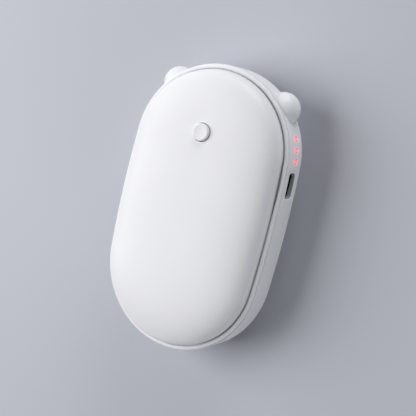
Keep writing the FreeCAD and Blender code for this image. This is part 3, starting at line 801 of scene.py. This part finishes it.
def model_foam(name, corners, details):
    """A foam pad with one round end and softened edges."""
    low, high = corners
    radius = (high.x - low.x) / 2
    centre = Vector(((low.x + high.x) / 2, low.y + radius, 0))
    points = [Vector((high.x, centre.y, low.z)), Vector((high.x, centre.y, high.z))]
    piece = draw_profile(name, points)
    bpy.ops.mesh.spin(
        steps=details.foam_steps, angle=math.pi, center=centre, axis=(0, 0, 1), use_auto_merge=False
    )
    select_points(piece, lambda place: place.y > centre.y - SAME_PLACE and place.x > 0)
    bpy.ops.mesh.extrude_region_move(TRANSFORM_OT_translate={"value": (0, high.y - centre.y, 0)})
    select_points(piece, lambda place: abs(place.y - centre.y) < SAME_PLACE and place.x < 0)
    bpy.ops.mesh.extrude_region_move(TRANSFORM_OT_translate={"value": (0, high.y - centre.y, 0)})
    select_points(piece, lambda place: place.y > high.y - SAME_PLACE)
    bpy.ops.mesh.edge_face_add()
    close_skin(piece)
    round_sharp_edges(piece, details.foam_round, details.foam_edge_steps, lambda place: True)
    return piece


class HANDWARMER_OT_foam_pads(Operator):
    """Models the two foam pads behind the heaters"""

    bl_idname = "hand_warmer.foam_pads"
    bl_label = "Foam Pads"

    def execute(self, context):
        details = context.scene.hand_warmer_details
        finish = cellular("foam_cells", finish_colours().foam, **FOAM)
        for name, node, corners in (
            ("front_foam", "front_foam_pad", FRONT_FOAM),
            ("rear_foam", "rear_foam_pad", REAR_FOAM),
        ):
            piece = model_foam(name, corners, details)
            dress(piece, finish, "casing", "foam", node)
        return {"FINISHED"}


# Finishes

NUMBER, COLOUR = "NodeSocketFloat", "NodeSocketColor"
# Sockets of a node that mixes two colours
MIX_FACTOR, MIX_FIRST, MIX_SECOND, MIX_RESULT = 0, 6, 7, 2


def finish_colours():
    return bpy.context.scene.hand_warmer_colours


def solid(tone, part=1):
    """A tone, or a part of it, as a socket's colour."""
    return (tone[0] * part, tone[1] * part, tone[2] * part, 1.0)


def add_node(tree, kind, **values):
    """A new node, with values for its sockets and settings."""
    node = tree.nodes.new(kind)
    for name, value in values.items():
        if name in node.inputs:
            node.inputs[name].default_value = value
        else:
            setattr(node, name, value)
    return node


def wire(tree, *pairs):
    """Links each output to its input."""
    for start, end in pairs:
        tree.links.new(start, end)


def add_mix(tree, factor):
    """A node that mixes two colours by a factor."""
    mix = add_node(tree, "ShaderNodeMix", data_type="RGBA")
    wire(tree, (factor, mix.inputs[MIX_FACTOR]))
    return mix


def add_noise(tree, scale, detail, roughness=0.5):
    """Noise over the surface, at a scale that comes from a socket."""
    place = add_node(tree, "ShaderNodeTexCoord")
    noise = add_node(tree, "ShaderNodeTexNoise", Detail=detail, Roughness=roughness)
    wire(tree, (place.outputs["Object"], noise.inputs["Vector"]), (scale, noise.inputs["Scale"]))
    return noise.outputs["Fac"]


def new_group(name, inputs, outputs):
    """An empty node group with number or colour sockets."""
    tree = bpy.data.node_groups.new(name, "ShaderNodeTree")
    for socket, kind in inputs.items():
        tree.interface.new_socket(socket, in_out="INPUT", socket_type=kind)
    for socket, kind in outputs.items():
        tree.interface.new_socket(socket, in_out="OUTPUT", socket_type=kind)
    return tree, tree.nodes.new("NodeGroupInput").outputs, tree.nodes.new("NodeGroupOutput").inputs


def new_skin_group(name, *scales):
    """An empty group for a skin: a height, and a roughness between a smooth and a rough value."""
    inputs = {socket: NUMBER for socket in (*scales, "Smooth", "Rough")}
    return new_group(name, inputs, {"Height": NUMBER, "Roughness": NUMBER})


def spread_roughness(tree, value, inputs, outputs):
    """Spreads a value between the smooth and the rough value of a skin group."""
    spread = add_node(tree, "ShaderNodeMapRange")
    wire(
        tree,
        (value, spread.inputs["Value"]),
        (inputs["Smooth"], spread.inputs["To Min"]),
        (inputs["Rough"], spread.inputs["To Max"]),
        (spread.outputs["Result"], outputs["Roughness"]),
    )


def two_tone_group():
    """Two close tones that drift into each other over the surface."""
    if "two_tone" in bpy.data.node_groups:
        return bpy.data.node_groups["two_tone"]
    tree, inputs, outputs = new_group(
        "two_tone", {"First": COLOUR, "Second": COLOUR, "Scale": NUMBER}, {"Color": COLOUR}
    )
    mix = add_mix(tree, add_noise(tree, inputs["Scale"], detail=3, roughness=0.55))
    wire(
        tree,
        (inputs["First"], mix.inputs[MIX_FIRST]),
        (inputs["Second"], mix.inputs[MIX_SECOND]),
        (mix.outputs[MIX_RESULT], outputs["Color"]),
    )
    return tree


def moulded_skin_group():
    """Fine spark-eroded grain, with a roughness that wanders in patches."""
    if "moulded_skin" in bpy.data.node_groups:
        return bpy.data.node_groups["moulded_skin"]
    tree, inputs, outputs = new_skin_group("moulded_skin", "Grain", "Patches")
    wire(tree, (add_noise(tree, inputs["Grain"], detail=2), outputs["Height"]))
    spread_roughness(tree, add_noise(tree, inputs["Patches"], detail=4), inputs, outputs)
    return tree


def brushing_group():
    """Fine parallel scratches."""
    if "brushing" in bpy.data.node_groups:
        return bpy.data.node_groups["brushing"]
    tree, inputs, outputs = new_skin_group("brushing", "Along", "Across")
    place = add_node(tree, "ShaderNodeTexCoord")
    stretch = add_node(tree, "ShaderNodeCombineXYZ")
    scale = add_node(tree, "ShaderNodeVectorMath", operation="MULTIPLY")
    noise = add_node(tree, "ShaderNodeTexNoise", Scale=1, Detail=3)
    wire(
        tree,
        (inputs["Across"], stretch.inputs["X"]),
        (inputs["Along"], stretch.inputs["Y"]),
        (inputs["Across"], stretch.inputs["Z"]),
        (place.outputs["Object"], scale.inputs[0]),
        (stretch.outputs["Vector"], scale.inputs[1]),
        (scale.outputs["Vector"], noise.inputs["Vector"]),
        (noise.outputs["Fac"], outputs["Height"]),
    )
    spread_roughness(tree, noise.outputs["Fac"], inputs, outputs)
    return tree


def distance_group(name, places, squash):
    """Distance from the nearest of some places, with each axis scaled."""
    if name in bpy.data.node_groups:
        return bpy.data.node_groups[name]
    tree, _, outputs = new_group(name, {}, {"Distance": NUMBER})
    where = add_node(tree, "ShaderNodeTexCoord")
    flat = add_node(tree, "ShaderNodeVectorMath", operation="MULTIPLY")
    flat.inputs[1].default_value = squash
    wire(tree, (where.outputs["Object"], flat.inputs[0]))
    nearest = None
    for place in places:
        away = add_node(tree, "ShaderNodeVectorMath", operation="DISTANCE")
        away.inputs[1].default_value = place * squash
        wire(tree, (flat.outputs["Vector"], away.inputs[0]))
        if nearest is None:
            nearest = away.outputs["Value"]
            continue
        least = add_node(tree, "ShaderNodeMath", operation="MINIMUM")
        wire(tree, (nearest, least.inputs[0]), (away.outputs["Value"], least.inputs[1]))
        nearest = least.outputs["Value"]
    wire(tree, (nearest, outputs["Distance"]))
    return tree


def near_lights(places, details):
    """The distance from the nearest light, drawn out in height."""
    return distance_group("light_distance", places, Vector((1, 1, 1 / details.glow_stretch)))


def in_mouth(sizes, details):
    """The distance from a point behind the socket's mouth, squashed to the mouth's shape, which places the
    painted shade in the mouth.
    """
    socket = (SOCKET_LOW + SOCKET_HIGH) / 2
    depth, height = sizes.half_width - details.painted_mouth_shade_depth, socket.z
    behind = Vector((depth, socket.y - details.painted_mouth_shade_drop, height))
    return distance_group("mouth_distance", [behind], Vector(details.painted_mouth_shade_squash))


def new_finish(name):
    finish = bpy.data.materials.new(name)
    finish.use_nodes = True
    return finish, finish.node_tree, finish.node_tree.nodes["Principled BSDF"]


def use_group(tree, group, **values):
    """A group in a material, with values for its inputs; gives its outputs."""
    node = add_node(tree, "ShaderNodeGroup", node_tree=group)
    for name, value in values.items():
        node.inputs[name].default_value = value
    return node.outputs


def use_two_tone(tree, tone, shade, patches):
    """A tone that drifts in patches to a shade of it."""
    group = two_tone_group()
    return use_group(tree, group, First=solid(tone), Second=solid(tone, shade), Scale=patches)["Color"]


def use_moulded_skin(tree, grain, patches, smooth, rough):
    group = moulded_skin_group()
    return use_group(tree, group, Grain=grain, Patches=patches, Smooth=smooth, Rough=rough)


def set_surface(tree, shader, tone, roughness, height, depth):
    """Wires a varied tone, roughness and height to a shader."""
    bump = add_node(tree, "ShaderNodeBump", Strength=1, Distance=depth)
    wire(
        tree,
        (tone, shader.inputs["Base Color"]),
        (roughness, shader.inputs["Roughness"]),
        (height, bump.inputs["Height"]),
        (bump.outputs["Normal"], shader.inputs["Normal"]),
    )


def grained(name, tone, shade, patches, smooth, rough, grain, depth):
    """A moulded or coated surface: two close tones, wandering roughness and a fine grain."""
    finish, tree, shader = new_finish(name)
    tones = use_two_tone(tree, tone, shade, patches)
    skin = use_moulded_skin(tree, grain, patches, smooth, rough)
    set_surface(tree, shader, tones, skin["Roughness"], skin["Height"], depth)
    return finish


def brushed(name, tone, shade, patches, smooth, rough, along, across, depth):
    """Metal with fine parallel scratches."""
    finish, tree, shader = new_finish(name)
    tones = use_two_tone(tree, tone, shade, patches)
    lines = use_group(tree, brushing_group(), Along=along, Across=across, Smooth=smooth, Rough=rough)
    set_surface(tree, shader, tones, lines["Roughness"], lines["Height"], depth)
    shader.inputs["Metallic"].default_value = 1.0
    return finish


def tracked(name, tone, shade, track, scale, width, smooth, rough, grain, patches, depth):
    """A sheet with fine tracks under its skin, as on a board or a heater film."""
    finish, tree, shader = new_finish(name)
    where = add_node(tree, "ShaderNodeTexCoord")
    bricks = add_node(
        tree, "ShaderNodeTexBrick", Scale=scale, Color1=solid(tone), Color2=solid(tone, shade),
        Mortar=solid(tone, track),
    )
    bricks.inputs["Mortar Size"].default_value = width
    skin = use_moulded_skin(tree, grain, patches, smooth, rough)
    wire(tree, (where.outputs["Object"], bricks.inputs["Vector"]))
    set_surface(tree, shader, bricks.outputs["Color"], skin["Roughness"], bricks.outputs["Fac"], depth)
    return finish


def cellular(name, tone, pore, wall, cells, smooth, rough, grain, patches, depth):
    """Open-cell foam: dark pores between paler walls."""
    finish, tree, shader = new_finish(name)
    where = add_node(tree, "ShaderNodeTexCoord")
    pores = add_node(tree, "ShaderNodeTexVoronoi", Scale=cells)
    distance = pores.outputs["Distance"]
    mix = add_mix(tree, distance)
    mix.inputs[MIX_FIRST].default_value = solid(tone, pore)
    mix.inputs[MIX_SECOND].default_value = solid(tone, wall)
    skin = use_moulded_skin(tree, grain, patches, smooth, rough)
    wire(tree, (where.outputs["Object"], pores.inputs["Vector"]))
    set_surface(tree, shader, mix.outputs[MIX_RESULT], skin["Roughness"], distance, depth)
    return finish


def add_fade(tree, group, near, far, inner, outer):
    """A mix that runs from one colour near the places of a distance group to another away from them."""
    fade = add_node(tree, "ShaderNodeMapRange", interpolation_type="SMOOTHERSTEP")
    fade.inputs["From Min"].default_value = near
    fade.inputs["From Max"].default_value = far
    wire(tree, (use_group(tree, group)["Distance"], fade.inputs["Value"]))
    mix = add_mix(tree, fade.outputs["Result"])
    mix.inputs[MIX_FIRST].default_value = inner
    mix.inputs[MIX_SECOND].default_value = outer
    return mix


def glowing_band(name, places, sizes, details):
    """The band's white plastic, lit round the pins of the lights and with grey painted shade inside the
    socket's mouth.
    """
    tones = finish_colours()
    finish = grained(name, tones.shell, **MOULDED)
    tree = finish.node_tree
    shader = tree.nodes["Principled BSDF"]
    base = shader.inputs["Base Color"]
    # Painted shade: the band turns grey deep inside the socket's mouth, where the recess lies in shadow
    white, grey = base.links[0].from_socket, solid(tones.painted_mouth_shade)
    mouth = add_fade(tree, in_mouth(sizes, details), details.painted_mouth_shade_near, details.painted_mouth_shade_far, grey, grey)
    wire(tree, (white, mouth.inputs[MIX_SECOND]), (mouth.outputs[MIX_RESULT], base))
    lit, dark = solid(tones.light), solid(tones.light, 0)
    glow = add_fade(tree, near_lights(places, details), 0, details.glow_reach, lit, dark)
    wire(tree, (glow.outputs[MIX_RESULT], shader.inputs["Emission Color"]))
    shader.inputs["Emission Strength"].default_value = tones.glow_strength
    return finish


def lit_pins(name, places, details):
    """Clear plastic lit from behind, hottest in the middle of each pin."""
    tones = finish_colours()
    finish = grained(name, tones.light, **GLOSSY)
    tree = finish.node_tree
    shader = tree.nodes["Principled BSDF"]
    core, edge = solid(tones.light_core), solid(tones.light)
    glow = add_fade(tree, near_lights(places, details), 0, details.light_radius, core, edge)
    for socket in ("Base Color", "Emission Color"):
        wire(tree, (glow.outputs[MIX_RESULT], shader.inputs[socket]))
    shader.inputs["Emission Strength"].default_value = tones.light_strength
    return finish


# Surfaces that several parts share. Grain, patches, cells and tracks are counts in a metre.
MOULDED = {"shade": 0.965, "patches": 45, "smooth": 0.42, "rough": 0.5, "grain": 2600, "depth": 0.000004}
GLOSSY = {"shade": 0.9, "patches": 300, "smooth": 0.15, "rough": 0.25, "grain": 1800, "depth": 0.000004}
PLASTIC = {"shade": 0.8, "patches": 280, "smooth": 0.36, "rough": 0.52, "grain": 2600, "depth": 0.00001}
COARSE = {"shade": 0.75, "patches": 350, "smooth": 0.58, "rough": 0.78, "grain": 2200, "depth": 0.00003}
WRAP = {"shade": 0.8, "patches": 60, "smooth": 0.24, "rough": 0.4, "grain": 700, "depth": 0.00004}
PLATING = {"shade": 0.9, "patches": 120, "smooth": 0.22, "rough": 0.36,
           "along": 300, "across": 5000, "depth": 0.000003}
SHEET = {"shade": 0.93, "patches": 80, "smooth": 0.28, "rough": 0.42,
         "along": 60, "across": 2500, "depth": 0.000004}
BOARD = {"shade": 0.93, "track": 1.9, "scale": 220, "width": 0.03, "smooth": 0.28, "rough": 0.4,
         "grain": 900, "patches": 150, "depth": 0.00002}
FILM = {"shade": 0.93, "track": 0.7, "scale": 140, "width": 0.12, "smooth": 0.25, "rough": 0.38,
        "grain": 900, "patches": 150, "depth": 0.00002}
FOAM = {"pore": 0.45, "wall": 1.7, "cells": 1500, "smooth": 0.85, "rough": 0.98,
        "grain": 1200, "patches": 200, "depth": 0.0002}
PAPER = {"shade": 0.97, "patches": 4, "smooth": 0.6, "rough": 0.75, "grain": 300, "depth": 0.00001}


def inner_finishes():
    """Each finish of the parts that are carried over, with the nodes that take it."""
    tones = finish_colours()
    return (
        (brushed("dark_plating", tones.plating, **PLATING), ("usb_shell",)),
        (brushed("plated_contacts", tones.gold, **PLATING), ("usb_contacts",)),
        (brushed("plated_steel", tones.steel, **PLATING), ("chassis_screws", "board_screws")),
        (brushed("spread_plate", tones.aluminium, **SHEET), ("front_heat_plate", "rear_heat_plate")),
        (tracked("solder_mask", tones.board, **BOARD), ("main_board", "battery_protection_board")),
        (tracked("heater_film", tones.film, **FILM), ("front_heater_film", "rear_heater_film")),
        (grained("black_plastic", tones.black, **PLASTIC),
         ("usb_tongue", "tact_switch_base", "tact_switch_plunger")),
        (grained("black_epoxy", tones.black, **COARSE),
         ("controller_chip", "heater_transistors", "thermistor")),
        (grained("ferrite_core", tones.ferrite, **COARSE), ("power_inductor",)),
        (grained("ceramic_bodies", tones.ceramic, **PLASTIC), ("board_capacitors",)),
        (grained("lamp_chips", tones.phosphor, **PLASTIC), ("indicator_leds",)),
        (grained("grey_moulding", tones.chassis, **PLASTIC), ("inner_chassis",)),
        (grained("cell_wrap", tones.wrap, **WRAP), ("battery_cell",)),
        (grained("red_wire", tones.red_wire, **PLASTIC), ("battery_lead_positive",)),
        (grained("black_wire", tones.black, **PLASTIC), ("battery_lead_negative",)),
        (grained("white_wire", tones.white_wire, **PLASTIC),
         ("front_heater_leads", "rear_heater_leads", "thermistor_leads")),
    )


class HANDWARMER_OT_inner_parts(Operator):
    """Gives every part that is carried over its finish"""

    bl_idname = "hand_warmer.inner_parts"
    bl_label = "Inner Parts"

    def execute(self, context):
        for finish, nodes in inner_finishes():
            for node in nodes:
                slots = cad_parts[node].data.materials
                slots.clear()
                slots.append(finish)
        return {"FINISHED"}


# Stage

def towards(bearing, rise):
    """The direction of a bearing from the socket side and a rise above the floor."""
    level = math.cos(rise)
    return Vector((level * math.cos(bearing), level * math.sin(bearing), math.sin(rise)))


def add_lamp(name, power, size, way, stage):
    """A square lamp that faces the camera's aim."""
    lamp = bpy.data.lights.new(name, "AREA")
    lamp.energy = power
    lamp.size = size
    holder = bpy.data.objects.new(name, lamp)
    holder.location = Vector(stage.aim) + way * stage.lamp_distance
    holder.rotation_euler = way.to_track_quat("Z", "Y").to_euler()
    bpy.context.scene.collection.objects.link(holder)


class HANDWARMER_OT_stage(Operator):
    """Sets up the floor, the lamps and the camera"""

    bl_idname = "hand_warmer.stage"
    bl_label = "Stage"

    def execute(self, context):
        scene, stage = context.scene, context.scene.hand_warmer_stage
        scene.view_settings.view_transform = "Standard"
        clear_selection()
        bpy.ops.mesh.primitive_plane_add(size=stage.floor_size, location=(0, 0, CAD_BOX[0].z))
        place_in_mesh()
        floor = name_piece("floor")
        finish = grained("floor_paper", finish_colours().floor, **PAPER)
        floor.data.materials.append(finish)
        for name, power, size, bearing, rise in (
            ("key_lamp", stage.key_power, stage.key_size, stage.key_bearing, stage.key_rise),
            ("back_lamp", stage.back_power, stage.low_size, stage.back_bearing, stage.low_rise),
            ("fill_lamp", stage.fill_power, stage.low_size, stage.fill_bearing, stage.low_rise),
        ):
            add_lamp(name, power, size, towards(bearing, rise), stage)
        world = bpy.data.worlds.new("soft_sky")
        world.use_nodes = True
        sky = world.node_tree.nodes["Background"]
        sky.inputs["Color"].default_value = solid(stage.sky_tone)
        sky.inputs["Strength"].default_value = stage.sky
        scene.world = world
        back = towards(stage.azimuth, stage.elevation)
        lens = bpy.data.cameras.new("camera")
        lens.lens = stage.lens
        camera = bpy.data.objects.new("camera", lens)
        camera.location = Vector(stage.aim) + back * stage.distance
        camera.rotation_mode = "QUATERNION"
        camera.rotation_quaternion = back.to_track_quat("Z", "Y") @ Quaternion((0, 0, 1), stage.roll)
        scene.collection.objects.link(camera)
        scene.camera = camera
        return {"FINISHED"}


class HANDWARMER_PT_sidebar(Panel):
    """Lists the steps that model the hand warmer"""

    bl_label = "Hand Warmer"
    bl_idname = "HANDWARMER_PT_sidebar"
    bl_space_type = "VIEW_3D"
    bl_region_type = "UI"
    bl_category = "Hand Warmer"

    def draw(self, context):
        for step in STEPS:
            self.layout.operator(step.bl_idname)


SETTINGS = {
    "hand_warmer_casing": CasingSizes,
    "hand_warmer_details": DetailSizes,
    "hand_warmer_colours": FinishColours,
    "hand_warmer_stage": StageSettings,
}
STEPS = (
    HANDWARMER_OT_front_cover,
    HANDWARMER_OT_rear_cover,
    HANDWARMER_OT_middle_frame,
    HANDWARMER_OT_power_button,
    HANDWARMER_OT_indicator_lights,
    HANDWARMER_OT_foam_pads,
    HANDWARMER_OT_inner_parts,
    HANDWARMER_OT_stage,
)


def register():
    for kind in (*SETTINGS.values(), *STEPS, HANDWARMER_PT_sidebar):
        bpy.utils.register_class(kind)
    for name, kind in SETTINGS.items():
        setattr(bpy.types.Scene, name, PointerProperty(type=kind))


def unregister():
    for name in SETTINGS:
        delattr(bpy.types.Scene, name)
    for kind in (HANDWARMER_PT_sidebar, *reversed(STEPS), *SETTINGS.values()):
        bpy.utils.unregister_class(kind)


def main():
    register()
    bpy.ops.hand_warmer.front_cover()
    bpy.ops.hand_warmer.rear_cover()
    bpy.ops.hand_warmer.middle_frame()
    bpy.ops.hand_warmer.power_button()
    bpy.ops.hand_warmer.indicator_lights()
    bpy.ops.hand_warmer.foam_pads()
    bpy.ops.hand_warmer.inner_parts()
    bpy.ops.hand_warmer.stage()
    clear_selection()


if __name__ == "__main__":
    main()
